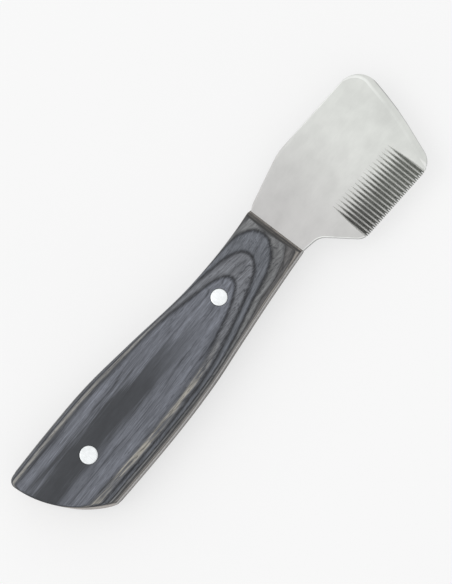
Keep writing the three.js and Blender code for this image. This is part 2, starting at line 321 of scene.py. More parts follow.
def row_shares():
    """Places of the rows between the butt, at 0, and the front edge, at 1."""
    turn = np.linspace(0, math.pi / 2, CORNER_STEPS + 1)
    corner = SPINE_CORNER_RADIUS * (1 - np.cos(turn)) / HANDLE_LENGTH
    rest = np.linspace(corner[-1], 1, int(HANDLE_LENGTH / LENGTH_STEP))[1:]
    return np.concatenate([corner, rest])


def surface_grid():
    """x, y and z of the upper surface, rows from butt to front, columns from the spine."""
    shares = row_shares()
    columns = 2 * (EDGE_STEPS + 1) + CROWN_COLUMNS
    fan = np.linspace(SPINE_TOUCH[1], BELLY_TOUCH[1], columns)
    start = butt_x(fan)
    pick = np.arange(columns)
    for _ in range(FAN_PASSES):
        y = column_places(start)[pick, pick]
        y = np.clip(y, BELLY_TOUCH[1], SPINE_TOUCH[1])
        start = 0.5 * start + 0.5 * butt_x(y)
    start[0] = SPINE_TOUCH[0]
    start[-1] = BELLY_TOUCH[0]
    base = start[None, :] * (1 - shares[:, None])
    lean = np.clip(1 + base / LEAN_REACH, 0, 1) ** 2
    x = base.copy()
    for _ in range(LEAN_PASSES):
        y = np.stack([column_places(x[:, j])[:, j] for j in range(columns)], axis=1)
        y[:, 0] = spine_wall(x[:, 0])
        y[:, -1] = belly_wall(x[:, -1])
        z = top_height(x, y)
        x = base - lean * (math.tan(FRONT_LEAN) * (z - FACE) + math.tan(FRONT_RAKE) * y)
    return np.stack([x, y, z], axis=-1)


def wall_point(edge_point, wall_at, share, base_x):
    """A point on a side wall, share of the way down from the edge to the blade's face."""
    z = edge_point[2] + (FACE - edge_point[2]) * share
    lean = max(0.0, 1 + base_x / LEAN_REACH) ** 2
    x = edge_point[0]
    for _ in range(LEAN_PASSES):
        y = float(wall_at(np.array(x)))
        x = base_x - lean * (math.tan(FRONT_LEAN) * (z - FACE) + math.tan(FRONT_RAKE) * y)
    if base_x < -HANDLE_LENGTH / 2:
        x, y = edge_point[0], edge_point[1]
    return np.array([x, y, z])


def upper_scale_mesh():
    """Closed upper scale without its bores."""
    grid = surface_grid()
    rows, columns = grid.shape[:2]
    ease = FRONT_EASE / np.linalg.norm(grid[-1] - grid[-2], axis=-1, keepdims=True)
    front_edge = grid[-1].copy()
    grid[-1] += (grid[-2] - grid[-1]) * np.minimum(ease, FRONT_EASE_SHARE)
    shares = row_shares()
    points = [tuple(p) for p in grid.reshape(-1, 3)]
    faces = []
    for i in range(rows - 1):
        for j in range(columns - 1):
            a = i * columns + j
            faces.append((a, a + columns, a + columns + 1, a + 1))

    # The rim runs along the spine to the butt, over the butt and back along the belly.
    rim = [(i, 0) for i in range(rows - 1, 0, -1)]
    rim += [(0, j) for j in range(columns)]
    rim += [(i, columns - 1) for i in range(1, rows)]
    above = [i * columns + j for i, j in rim]
    sides = []
    for step in range(1, WALL_STEPS + 1):
        share = step / WALL_STEPS
        level = []
        for i, j in rim:
            edge_point = grid[i, j]
            if i == 0:
                point = np.array([*edge_point[:2], edge_point[2] * (1 - share) + FACE * share])
            else:
                wall_at = spine_wall if j == 0 else belly_wall
                base_x = (SPINE_TOUCH if j == 0 else BELLY_TOUCH)[0] * (1 - shares[i])
                point = wall_point(edge_point, wall_at, share, base_x)
            level.append(len(points))
            points.append(tuple(point))
        for k in range(len(rim) - 1):
            faces.append((above[k], above[k + 1], level[k + 1], level[k]))
        sides.append(level)
        above = level

    # Front face, a little inside its rim, so that the rim is an eased edge.
    rim_of_front = [rows * columns - columns + j for j in range(columns)]
    rim_of_front += [level[-1] for level in sides]
    loop = rim_of_front + [level[0] for level in reversed(sides)]
    corners = list(front_edge) + [np.array(points[level[-1]]) for level in sides]
    corners += [np.array(points[level[0]]) for level in reversed(sides)]
    middle = np.mean(corners, axis=0)
    inner = []
    for corner in corners:
        inward = middle - corner
        inner.append(len(points))
        points.append(tuple(corner + inward * FRONT_EASE / np.linalg.norm(inward)))
    for k in range(len(loop)):
        after = (k + 1) % len(loop)
        faces.append((loop[k], inner[k], inner[after], loop[after]))
    faces.append(tuple(reversed(inner)))
    faces.append(tuple(reversed(sides[-1])))
    return points, faces


def cut_bores(piece):
    """Drills the holes for the pins through a scale."""
    for x, y, radius in (REAR_PIN, FRONT_PIN):
        place = to_row([x, y, 0])
        bpy.ops.mesh.primitive_cylinder_add(
            vertices=PIN_SECTORS,
            radius=(radius + PIN_CLEARANCE) * MM,
            depth=2 * HANDLE_THICKNESS * MM,
            location=place,
        )
        drill = bpy.context.object
        cut = piece.modifiers.new("bore", "BOOLEAN")
        cut.operation = "DIFFERENCE"
        cut.solver = "EXACT"
        cut.object = drill
        bpy.context.view_layer.update()
        evaluated = piece.evaluated_get(bpy.context.evaluated_depsgraph_get())
        mesh = bpy.data.meshes.new_from_object(evaluated)
        piece.modifiers.clear()
        old = piece.data
        piece.data = mesh
        bpy.data.meshes.remove(old)
        bpy.data.objects.remove(drill)
    shade(piece)


def mark_depth(piece):
    """Stores how far each point lies below the dome, in millimetres, for the material."""
    points = np.array([vertex.co for vertex in piece.data.vertices]) / MM - OFFSET
    below = domed_height(points[:, 0], points[:, 1]) - np.abs(points[:, 2])
    mark = piece.data.attributes.new(DEPTH_MARK, "FLOAT", "POINT")
    mark.data.foreach_set("value", np.maximum(below, 0).astype(np.float32))


def scale(name, side):
    points, faces = upper_scale_mesh()
    if side < 0:
        points = [(x, y, -z) for x, y, z in points]
    piece = new_piece(name, points, faces)
    tidy = bmesh.new()
    tidy.from_mesh(piece.data)
    bmesh.ops.recalc_face_normals(tidy, faces=tidy.faces)
    tidy.to_mesh(piece.data)
    tidy.free()
    cut_bores(piece)
    mark_depth(piece)
    return piece


def pin(name, place):
    """A pin ground flush with both scales, its rims eased."""
    x0, y0, radius = place
    radii = list(np.linspace(0, radius - PIN_RIM, PIN_RINGS + 1))[1:] + [radius]
    sector = np.linspace(0, 2 * math.pi, PIN_SECTORS, endpoint=False)
    rings = []
    for side in (1, -1):
        half = []
        for r in radii:
            x = x0 + r * np.cos(sector)
            y = y0 + r * np.sin(sector)
            z = domed_height(x, y)
            if r == radius:
                z = z - PIN_RIM
            half.append(np.stack([x, y, side * z], axis=-1))
        rings += half if side > 0 else half[::-1]
    points = [(x0, y0, float(domed_height(np.array(x0), np.array(y0))))]
    points += [tuple(p) for ring in rings for p in ring]
    points.append((x0, y0, -points[0][2]))
    last = len(points) - 1
    faces = []
    for k in range(PIN_SECTORS):
        after = (k + 1) % PIN_SECTORS
        faces.append((0, 1 + k, 1 + after))
        for ring in range(len(rings) - 1):
            a = 1 + ring * PIN_SECTORS
            b = a + PIN_SECTORS
            faces.append((a + k, b + k, b + after, a + after))
        end = 1 + (len(rings) - 1) * PIN_SECTORS
        faces.append((last, end + after, end + k))
    return new_piece(name, points, faces, PIN_SHARP_ANGLE)


def dressed_blade():
    """The blade's own solid, with its rounded edges shaded smooth."""
    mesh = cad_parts["blade"].data.copy()
    mesh.materials.clear()
    piece = bpy.data.objects.new("blade_ground", mesh)
    bpy.context.scene.collection.objects.link(piece)
    weld = bmesh.new()
    weld.from_mesh(mesh)
    bmesh.ops.remove_doubles(weld, verts=weld.verts, dist=WELD_DISTANCE * MM)
    weld.to_mesh(mesh)
    weld.free()
    if mesh.has_custom_normals:
        bpy.context.view_layer.objects.active = piece
        bpy.ops.mesh.customdata_custom_splitnormals_clear()
    shade(piece, BLADE_SHARP_ANGLE)
    flats = piece.modifiers.new("flats", "WEIGHTED_NORMAL")
    flats.mode = "FACE_AREA"
    flats.weight = 100
    flats.keep_sharp = True
    return piece


# ------------------------------------------------------------ materials

SPREAD = (0.3, 0.7)  # nearly all values of a noise lie in here
WIDE_SPREAD = (0.25, 0.75)


class Shader:
    """Short-hand for building a material's nodes."""

    def __init__(self, name):
        self.material = bpy.data.materials.new(name)
        self.material.use_nodes = True
        self.tree = self.material.node_tree
        self.surface = self.tree.nodes["Principled BSDF"]
        self.place = self.node("ShaderNodeTexCoord").outputs["Object"]

    def node(self, kind, **inputs):
        node = self.tree.nodes.new(kind)
        for name, value in inputs.items():
            self.feed(node.inputs[name.replace("_", " ")], value)
        return node

    def feed(self, socket, value):
        if isinstance(value, bpy.types.NodeSocket):
            self.tree.links.new(value, socket)
        elif socket.type == "VECTOR":
            socket.default_value = value[:3]
        else:
            socket.default_value = value

    def math(self, operation, *values):
        node = self.tree.nodes.new("ShaderNodeMath")
        node.operation = operation
        for socket, value in zip(node.inputs, values):
            self.feed(socket, value)
        return node.outputs[0]

    def times(self, *factors):
        product = factors[0]
        for factor in factors[1:]:
            product = self.math("MULTIPLY", product, factor)
        return product

    def rest_of_one(self, value):
        return self.math("SUBTRACT", 1.0, value)

    def centred(self, noise):
        """A noise moved so that it swings about zero."""
        return self.math("SUBTRACT", noise, 0.5)

    def larger(self, first, second):
        return self.math("MAXIMUM", first, second)

    def step(self, value, low, high, to_low=0.0, to_high=1.0):
        """Smooth change from to_low to to_high as value passes from low to high."""
        node = self.tree.nodes.new("ShaderNodeMapRange")
        node.interpolation_type = "SMOOTHSTEP"
        for socket, given in zip(node.inputs, (value, low, high, to_low, to_high)):
            self.feed(socket, given)
        return node.outputs[0]

    def vary(self, noise, low, high, spread=SPREAD):
        """A factor that goes from low to high with a noise."""
        return self.step(noise, *spread, low, high)

    def layout_place(self):
        """The shaded point in the layout's millimetres."""
        axes = self.node("ShaderNodeSeparateXYZ", Vector=self.place).outputs
        return [self.math("MULTIPLY_ADD", a, 1 / MM, -float(o)) for a, o in zip(axes, OFFSET)]

    def facing(self):
        """The direction that the surface faces, as x, y and z."""
        normal = self.node("ShaderNodeNewGeometry").outputs["Normal"]
        return self.node("ShaderNodeSeparateXYZ", Vector=normal).outputs

    def noise(self, place, kind):
        """Noise of a kind given as scale per unit of each axis, detail and roughness."""
        scales, detail, roughness = kind
        x, y, z = (self.math("MULTIPLY", a, scale) for a, scale in zip(place, scales))
        vector = self.node("ShaderNodeCombineXYZ", X=x, Y=y, Z=z).outputs[0]
        node = self.node(
            "ShaderNodeTexNoise",
            Vector=vector,
            Scale=1.0,
            Detail=detail,
            Roughness=roughness,
        )
        return node.outputs["Fac"]

    def attribute(self, name):
        """A number stored on the mesh's points."""
        node = self.tree.nodes.new("ShaderNodeAttribute")
        node.attribute_name = name
        return node.outputs["Fac"]

    def mix(self, factor, low, high):
        node = self.tree.nodes.new("ShaderNodeMix")
        node.data_type = "RGBA"
        sockets = (node.inputs[0], node.inputs[6], node.inputs[7])
        for socket, value in zip(sockets, (factor, low, high)):
            self.feed(socket, value)
        return node.outputs[2]

    def scaled(self, colour, factor):
        """Colour times a factor."""
        node = self.tree.nodes.new("ShaderNodeVectorMath")
        node.operation = "SCALE"
        self.feed(node.inputs[0], colour)
        self.feed(node.inputs["Scale"], factor)
        return node.outputs[0]

    def steps_of_colour(self, factor, stops):
        """One colour after another, with no blending, as the factor goes from 0 to 1."""
        node = self.tree.nodes.new("ShaderNodeValToRGB")
        node.color_ramp.interpolation = "CONSTANT"
        elements = node.color_ramp.elements
        while len(elements) < len(stops):
            elements.new(0.5)
        for element, (place, colour) in zip(elements, stops):
            element.position = place
            element.color = colour
        self.feed(node.inputs[0], factor)
        return node.outputs[0]

    def bump(self, height, distance):
        node = self.node("ShaderNodeBump", Height=height, Distance=distance, Strength=1.0)
        return node.outputs[0]

    def finish(self, **inputs):
        for name, value in inputs.items():
            self.feed(self.surface.inputs[name.replace("_", " ")], value)
        return self.material


def srgb(red, green, blue):
    """A linear colour from 8-bit display values."""

    def linear(value):
        value /= 255
        return value / 12.92 if value <= 0.04045 else ((value + 0.055) / 1.055) ** 2.4

    return (linear(red), linear(green), linear(blue), 1.0)


# The laminate. Pairs of places are along x or y, in mm.
VENEER = 0.8  # thickness of one veneer with its glue line, mm
FIRST_GLUE_LINE = 6.83  # height of the uppermost glue line, mm
GLUE_WIDTH = 0.45  # half-width of a glue line as the dome cuts it, mm
GLUE_HALF = (0.045, 0.13)  # least and greatest half-height of a glue line, mm
GLUE_SOFTNESS = (2.3, 0.1)  # a glue line fades out and is full at these half-heights
GLUE_STRENGTH = 0.86
GLUE_TOP = (0.4, 0.6)  # no glue line lies above the top veneer
LEVEL_FROM = (-50.0, -20.0)  # the veneers get more level and even between these places
VENEER_TILT = (0.012, 0.0)
WAVINESS = (0.25, 0.08)  # how far waves lift a veneer, mm
RIPPLE_SLOPE = (0.05, 0.4)  # ripples count for more where the surface is steep
RIPPLE_LIFT = (0.03, 0.24)
STEEPEST = 0.9995  # keeps the slope of a level surface above zero

HEART_FROM, HEART_TO = -85.0, -40.0  # the top veneer's dark heart, along x, mm
HEART_CENTRE = (2.7, -0.2)  # its middle at those two places, mm
HEART_HALF_WIDTH = (4.4, 2.2)
HEART_FEATHER = (1.55, 0.6)  # in half-widths from its middle
HEART_FADE = (-24.0, -68.0)
HEART_WANDER = 6.0
HEART_CALM = -0.8  # the grain shows less in the heart

BLEACHED_REAR = (-32.0, -62.0)  # the second veneer is bleached from here to the butt
BLEACHED_BELLY = (2.0, -4.0)
BLEACHED_BAND = ((0.1, 0.25), (0.8, 0.5))  # where the bleach lies within the veneer
BLEACHED_GRAIN = (0.34, 0.5)  # it takes in the broad bands above these values
FIRST_LINE = (1.5, 1.3)  # tells the first glue line from the others
FAINT_REAR = (-34.0, -46.0)  # it is fainter from here to the butt
FAINT_BELLY = (0.0, -5.0)
FAINT_SIDES = (0.35, 0.6)  # share of it that is lost on the spine side and the belly side
NEAR_FRONT = (-42.0, -24.0)
FRONT_LIFT = 0.15  # the front is this much paler
LOW_SHEETS_FRONT = (3.0, 4.2)  # veneers next to the blade, counted from the top
LOW_SHEETS = (4.4, 5.5)
LOW_LIFT = 0.25
LOW_FAINT = 0.45

GRAIN_TURN = 0.16  # greatest slant of a veneer's grain
TURN_STEP = 2.4
SHEET_SHIFT = 7.31  # keeps the grain of one veneer apart from the next
DEPTH_SHIFT = 1.5  # and changes it with height
RING_PITCH = 0.42  # growth rings per millimetre across the grain
RING_WINDING = 3.2
RING_RISE = (0.0, 0.06)  # a ring's line comes up sharply and fades out slowly
RING_FALL = (0.26, 0.08)
RING_STRENGTH = 0.65
PORE_VALUES = (0.58, 0.68)  # pores are where their noise is above these

FRONT_EDGE_DARK_DEPTH = (1.1, 0.6)  # the front faces are darkened down to this depth, mm
FRONT_EDGE_DARKENING = 0.6
FRONT_FACING = (0.35, 0.65)
FRONT_FACE_LIFT = 0.3
FRONT_FACE_GREY = 0.35
BUTT_FACING = (-0.35, -0.6)
BUTT_UPRIGHT = (0.7, 0.4)
END_GRAIN_STRENGTH = 0.75
END_GRAIN_DEPTH = (0.9, 1.5)  # below the dome, mm
BUTT_EDGE_TOP = (0.1, 0.5)  # dark line round the butt, below the dome, mm
BUTT_EDGE_BOTTOM = (1.3, 0.8)
BUTT_EDGE_REAR = (-90.0, -100.0)
BUTT_EDGE_STRENGTH = 0.75
WOOD_BUMP = 0.02  # mm

# Kinds of noise: scale per millimetre along x, y and z, detail and roughness
WAVES = ((0.04, 0.09, 0.2), 1.0, 0.5)
RIPPLE = ((0.22, 0.6, 0.5), 3.0, 0.6)
BROAD = ((0.03, 0.45, 1.0), 3.0, 0.6)
MOTTLE = ((0.11, 0.3, 1.0), 3.0, 0.65)
STREAKS = ((0.09, 2.1, 1.3), 3.0, 0.65)
FIBRES = ((0.35, 5.5, 3.0), 2.0, 0.6)
PORES = ((0.4, 4.5, 2.0), 2.0, 0.55)
WINDING = ((0.02, 0.12, 1.0), 4.0, 0.45)

# The dyed veneers from the top down
VENEER_COLOURS = [
    (108, 111, 119),
    (110, 112, 117),
    (98, 101, 107),
    (110, 111, 112),
    (84, 83, 83),
    (128, 124, 119),
    (80, 77, 75),
    (132, 126, 120),
    (96, 91, 87),
    (124, 118, 112),
]
HEART_COLOUR = srgb(60, 62, 66)
BLEACHED_COLOUR = srgb(172, 168, 158)
GLUE_COLOUR = srgb(26, 27, 31)
PORE_COLOUR = srgb(40, 41, 46)
END_GRAIN_COLOUR = srgb(170, 158, 149)
FRONT_COLOUR = srgb(92, 92, 88)


def laminate_material():
    """Dyed veneers stacked along z, cut through by the domed surface."""
    s = Shader("dyed_laminate")
    x, y, z = s.layout_place()
    z = s.math("ABSOLUTE", z)
    place = (x, y, z)
    facing = s.facing()
    upright = s.math("MINIMUM", s.math("ABSOLUTE", facing["Z"]), STEEPEST)
    lean = s.rest_of_one(s.times(upright, upright))
    slope = s.math("DIVIDE", s.math("SQRT", lean), upright)
    depth = s.attribute(DEPTH_MARK)

    # The veneers are pressed a little wavy and out of level.
    waves = s.centred(s.noise(place, WAVES))
    ripple = s.centred(s.noise(place, RIPPLE))
    level = s.math("MULTIPLY_ADD", y, s.step(x, *LEVEL_FROM, *VENEER_TILT), z)
    level = s.math("MULTIPLY_ADD", waves, s.step(x, *LEVEL_FROM, *WAVINESS), level)
    level = s.math("MULTIPLY_ADD", ripple, s.step(slope, *RIPPLE_SLOPE, *RIPPLE_LIFT), level)
    stack = s.math("DIVIDE", s.math("SUBTRACT", FIRST_GLUE_LINE + VENEER, level), VENEER)
    sheet = s.larger(s.math("FLOOR", stack), 0.0)
    below = s.math("SUBTRACT", stack, sheet)

    # Grain runs along the handle, turned a little from sheet to sheet.
    turn = s.times(s.math("SINE", s.times(sheet, TURN_STEP)), GRAIN_TURN)
    across = s.math("MULTIPLY_ADD", x, turn, y)
    deep = s.math("MULTIPLY_ADD", sheet, SHEET_SHIFT, s.times(z, DEPTH_SHIFT))
    along_grain = (x, across, deep)
    broad = s.noise(along_grain, BROAD)
    mottle = s.noise(along_grain, MOTTLE)
    streaks = s.noise(along_grain, STREAKS)
    fibres = s.noise(along_grain, FIBRES)
    pores = s.noise(along_grain, PORES)
    winding = s.noise(along_grain, WINDING)

    sheets = len(VENEER_COLOURS)
    stops = [(k / sheets, srgb(*shade)) for k, shade in enumerate(VENEER_COLOURS)]
    colour = s.steps_of_colour(s.math("DIVIDE", s.math("ADD", sheet, 0.5), float(sheets)), stops)

    # The second sheet is bleached towards the butt, most of all on the belly side.
    second = s.math("COMPARE", sheet, 1.0, 0.1)
    rear = s.step(x, *BLEACHED_REAR)
    belly = s.step(y, *BLEACHED_BELLY, 0.5, 1.0)
    band = s.times(*(s.step(below, *edge) for edge in BLEACHED_BAND))
    bleached = s.times(rear, belly, s.step(broad, *BLEACHED_GRAIN), band, second)
    colour = s.mix(bleached, colour, BLEACHED_COLOUR)

    # The top sheet's dark heart, feathered out along the grain and fading to the front.
    centre = s.step(x, HEART_FROM, HEART_TO, *HEART_CENTRE)
    half_width = s.step(x, HEART_FROM, HEART_TO, *HEART_HALF_WIDTH)
    wander = s.times(s.centred(broad), HEART_WANDER)
    wander = s.math("MULTIPLY_ADD", s.centred(streaks), HEART_WANDER, wander)
    aside = s.math("ABSOLUTE", s.math("ADD", s.math("SUBTRACT", y, centre), wander))
    heart = s.step(s.math("DIVIDE", aside, half_width), *HEART_FEATHER)
    heart = s.times(heart, s.step(x, *HEART_FADE))
    colour = s.mix(heart, colour, HEART_COLOUR)

    # Grain: broad bands, fine streaks and blotches, paler at the front and near the blade.
    calm = s.math("MULTIPLY_ADD", heart, HEART_CALM, 1.0)
    streaky = s.vary(streaks, 0.7, 1.24, WIDE_SPREAD)
    fibrous = s.vary(fibres, 0.84, 1.15, WIDE_SPREAD)
    tone = s.times(s.vary(broad, 0.78, 1.16), streaky, fibrous)
    tone = s.math("MULTIPLY_ADD", s.math("SUBTRACT", tone, 1.0), calm, 1.0)
    near_front = s.step(x, *NEAR_FRONT)
    low = s.times(near_front, s.step(stack, *LOW_SHEETS_FRONT))
    low = s.larger(low, s.step(stack, *LOW_SHEETS))
    paler = s.math("MULTIPLY_ADD", near_front, FRONT_LIFT, 1.0)
    tone = s.times(tone, s.vary(mottle, 0.9, 1.1), paler)
    tone = s.times(tone, s.math("MULTIPLY_ADD", low, LOW_LIFT, 1.0))
    colour = s.scaled(colour, tone)

    # Dark growth lines and short pores.
    rings = s.math("MULTIPLY_ADD", winding, RING_WINDING, s.times(across, RING_PITCH))
    rings = s.math("FRACT", rings)
    ring = s.times(s.step(rings, *RING_RISE), s.step(rings, *RING_FALL))
    ring = s.times(ring, s.step(broad, 0.35, 0.6, 1.0, 0.3), calm, RING_STRENGTH)
    pore = s.step(pores, *PORE_VALUES)
    pore = s.times(pore, calm, s.step(stack, 0.2, 1.2, 0.35, 0.7))
    colour = s.mix(s.larger(ring, pore), colour, PORE_COLOUR)

    # Glue lines, about as wide on the surface wherever the dome cuts them.
    half = s.larger(s.times(slope, GLUE_WIDTH), GLUE_HALF[0])
    half = s.times(s.math("MINIMUM", half, GLUE_HALF[1]), s.vary(streaks, 0.8, 1.25))
    near = s.centred(s.math("FRACT", s.math("ADD", stack, 0.5)))
    near = s.times(s.math("ABSOLUTE", near), VENEER)
    glue = s.step(near, *(s.times(half, share) for share in GLUE_SOFTNESS))
    glue = s.times(glue, s.step(stack, *GLUE_TOP, 0.0, GLUE_STRENGTH))
    faint = s.times(s.step(stack, *FIRST_LINE), s.step(x, *FAINT_REAR))
    faint = s.times(faint, s.step(y, *FAINT_BELLY, *FAINT_SIDES))
    faint = s.larger(faint, s.times(low, LOW_FAINT))
    faint = s.larger(faint, s.step(fibres, 0.45, 0.7, 0.0, 0.4))
    glue = s.times(glue, s.rest_of_one(faint))
    colour = s.mix(glue, colour, GLUE_COLOUR)

    # The sanded front faces are greyer, and darker along their top edge.
    front = s.step(facing["X"], *FRONT_FACING)
    colour = s.scaled(colour, s.math("MULTIPLY_ADD", front, FRONT_FACE_LIFT, 1.0))
    colour = s.mix(s.times(front, FRONT_FACE_GREY), colour, FRONT_COLOUR)
    front_edge_dark = s.times(front, s.step(depth, *FRONT_EDGE_DARK_DEPTH, 0.0, FRONT_EDGE_DARKENING))
    colour = s.mix(front_edge_dark, colour, GLUE_COLOUR)

    # End grain at the butt is paler and warmer below a dark edge.
    butt = s.times(s.step(facing["X"], *BUTT_FACING), s.step(upright, *BUTT_UPRIGHT))
    striped = s.math("MULTIPLY_ADD", glue, -0.5, END_GRAIN_STRENGTH)
    end_grain = s.times(butt, striped, s.step(depth, *END_GRAIN_DEPTH))
    colour = s.mix(end_grain, colour, END_GRAIN_COLOUR)
    edge = s.times(s.step(depth, *BUTT_EDGE_TOP), s.step(depth, *BUTT_EDGE_BOTTOM))
    edge = s.times(edge, s.step(x, *BUTT_EDGE_REAR, 0.0, BUTT_EDGE_STRENGTH))
    colour = s.mix(edge, colour, GLUE_COLOUR)

    height = s.math("MULTIPLY_ADD", pore, -0.6, s.times(fibres, 0.5))
    return s.finish(
        Base_Color=colour,
        Roughness=s.vary(streaks, 0.42, 0.55),
        Specular_IOR_Level=0.3,
        Normal=s.bump(height, WOOD_BUMP * MM),
    )


# The blade's steel
STEEL_REFLECTION_SPAN = (0.0, 48.0)  # painted reflection: the steel goes from dimmer to brighter between these places along x
STEEL_DIM_REFLECTION_NEAR_HANDLE = srgb(190, 189, 188)
STEEL_BRIGHT_REFLECTION_NEAR_END = srgb(215, 217, 213)
CREASE_HIGHLIGHT_STEEL = srgb(242, 244, 241)
PALE_RIDGE_STEEL = srgb(245, 245, 243)
GROOVES = (15.5, 44.0)  # the toothed edge runs from here to here along x, mm
GROOVES_FADE = 0.5
GROOVES_REACH = (-7.0, -8.0)  # and its grooves start here in y
FIRST_GROOVE = 16.48
TOOTH_PITCH = 1.381
GROOVE_SHADE_HEIGHTS = (0.9, 0.1)  # painted shade: the grooves get darker over these heights
RUN_OUT_TOP = (1.0, 0.96)  # their run-outs are made pale between these heights
RUN_OUT_BOTTOM = (0.3, 0.85)
RUN_OUT_PALENESS = 0.55
RIDGE = (0.19, 0.09)  # a ridge fades out and is full at these shares of the pitch
HIGHLIGHT_TOP = (1.0, 0.985)  # the painted highlight line at the top of the end bevel, heights in mm
HIGHLIGHT_BOTTOM = (0.74, 0.86)
END_CREASE_X = (18.0, 30.0)  # it runs along the end edge and fades towards the toe
END_CREASE_Y = (-4.0, 13.0)
END_CREASE_SHARE = (0.15, 1.0)
HEEL_CREASE_X = (28.0, 20.0)  # another runs round the neck and the heel
HEEL_CREASE_Y = (-9.0, -12.0)
RIM_SHADE_HEIGHT = (0.5, 0.41)  # below this the blade's rim gets painted shade, a dark reflection along its edge, mm
RIM_UPWARD = (-0.5, -0.2)
RIM_SHADE_SPAN = (30.0, 45.0)  # along x, and the share of light lost at these places
RIM_SHADE_LOSS = (0.5, 0.7)
UPWARD = (-0.5, 0.0)
STEEL_BUMP = 0.003  # mm

CLOUDS = ((0.05, 0.05, 0.05), 3.0, 0.55)
SMUDGES = ((0.16, 0.22, 0.2), 3.0, 0.6)
BRUSHED = ((0.2, 7.0, 1.0), 3.0, 0.6)
WHEEL_SCRATCHES = ((9.0, 0.6, 9.0), 3.0, 0.7)


def steel_material():
    """Satin stainless steel, smudged from handling, with a painted reflection, painted shade and
    a painted highlight.
    """
    s = Shader("satin_steel")
    place = s.layout_place()
    x, y, z = place
    facing = s.facing()
    clouds = s.noise(place, CLOUDS)
    smudges = s.noise(place, SMUDGES)
    brushed = s.noise(place, BRUSHED)
    scratches = s.noise(place, WHEEL_SCRATCHES)
    # Painted reflection: the steel is darker near the handle and lighter towards the end, as the
    # sky's reflection changes along the blade.
    base = s.mix(s.step(x, *STEEL_REFLECTION_SPAN), STEEL_DIM_REFLECTION_NEAR_HANDLE, STEEL_BRIGHT_REFLECTION_NEAR_END)
    tone = s.times(s.vary(clouds, 0.95, 1.04), s.vary(smudges, 0.96, 1.03))
    tone = s.times(tone, s.vary(brushed, 0.97, 1.03, (0.2, 0.8)))

    # Painted shade darkens the grooves with depth, broken up by the wheel's scratches. Their
    # run-outs and the ridges between them are made pale and less metallic.
    behind = s.step(x, GROOVES[0] - GROOVES_FADE, GROOVES[0])
    ahead = s.step(x, GROOVES[1] + GROOVES_FADE, GROOVES[1])
    inside = s.times(behind, ahead, s.step(y, *GROOVES_REACH))
    outside = s.rest_of_one(inside)
    # painted shade, growing with depth in the grooves
    ground = s.times(inside, s.step(facing["Z"], *UPWARD), s.step(z, *GROOVE_SHADE_HEIGHTS))
    run_out = s.times(s.step(z, *RUN_OUT_TOP), s.step(z, *RUN_OUT_BOTTOM), inside, RUN_OUT_PALENESS)
    phase = s.math("MULTIPLY_ADD", x, 1 / TOOTH_PITCH, -FIRST_GROOVE / TOOTH_PITCH)
    from_ridge = s.math("ABSOLUTE", s.centred(s.math("FRACT", phase)))
    ridge = s.step(from_ridge, *RIDGE)
    painted_groove_shade = s.times(s.vary(scratches, 0.4, 0.14), ground, s.rest_of_one(ridge))
    tone = s.times(tone, s.rest_of_one(painted_groove_shade))

    # Painted shade darkens the rim, and a painted highlight runs along the top of the end bevel.
    # painted shade on the blade's rim
    rim = s.times(s.step(z, *RIM_SHADE_HEIGHT), s.step(facing["Z"], *RIM_UPWARD))
    painted_rim_shade = s.times(rim, outside, s.step(x, *RIM_SHADE_SPAN, *RIM_SHADE_LOSS))
    tone = s.times(tone, s.rest_of_one(painted_rim_shade))
    # Painted highlight: a bright line along the top of the end bevel and round the heel, where a
    # lamp would catch.
    highlight_band = s.times(s.step(z, *HIGHLIGHT_TOP), s.step(z, *HIGHLIGHT_BOTTOM))
    at_end = s.times(s.step(y, *END_CREASE_Y, *END_CREASE_SHARE), s.step(x, *END_CREASE_X))
    at_heel = s.times(s.step(y, *HEEL_CREASE_Y), s.step(x, *HEEL_CREASE_X))
    bright = s.times(s.larger(at_end, at_heel), s.step(smudges, 0.3, 0.6, 0.55, 0.85))
    painted_crease_highlight = s.times(highlight_band, bright, outside)
    colour = s.mix(painted_crease_highlight, s.scaled(base, tone), CREASE_HIGHLIGHT_STEEL)
    pale_ridges = s.larger(s.times(ridge, ground), run_out)
    return s.finish(
        Base_Color=s.mix(pale_ridges, colour, PALE_RIDGE_STEEL),
        Metallic=s.math("MULTIPLY_ADD", pale_ridges, -0.75, 1.0),
        Roughness=s.vary(smudges, 0.3, 0.4),
        Normal=s.bump(brushed, STEEL_BUMP * MM),
    )


# The pins' metal
PIN_COLOUR = srgb(242, 245, 246)
REAR_PIN_DULLNESS = 0.86
BETWEEN_PINS = (-70.0, -45.0)
PIN_BUMP = 0.006  # mm

PIN_SCRATCHES = ((5.0, 0.6, 1.0), 3.0, 0.7)
BLOTCHES = ((0.7, 0.7, 0.7), 2.0, 0.5)


def pin_material():
    """Ground pin ends: bright, with fine scratches across the handle."""
    s = Shader("ground_pins")
    place = s.layout_place()
    scratches = s.noise(place, PIN_SCRATCHES)
    blotches = s.noise(place, BLOTCHES)
    tone = s.times(s.step(scratches, 0.35, 0.7, 1.02, 0.93), s.vary(blotches, 0.95, 1.02))
    tone = s.times(tone, s.step(place[0], *BETWEEN_PINS, REAR_PIN_DULLNESS, 1.0))
    return s.finish(
        Base_Color=s.scaled(PIN_COLOUR, tone),
        Metallic=1.0,
        Roughness=s.vary(scratches, 0.32, 0.45),
        Normal=s.bump(scratches, PIN_BUMP * MM),
    )


# ------------------------------------------------------------ the knife

laminate = laminate_material()
steel = steel_material()
pin_metal = pin_material()

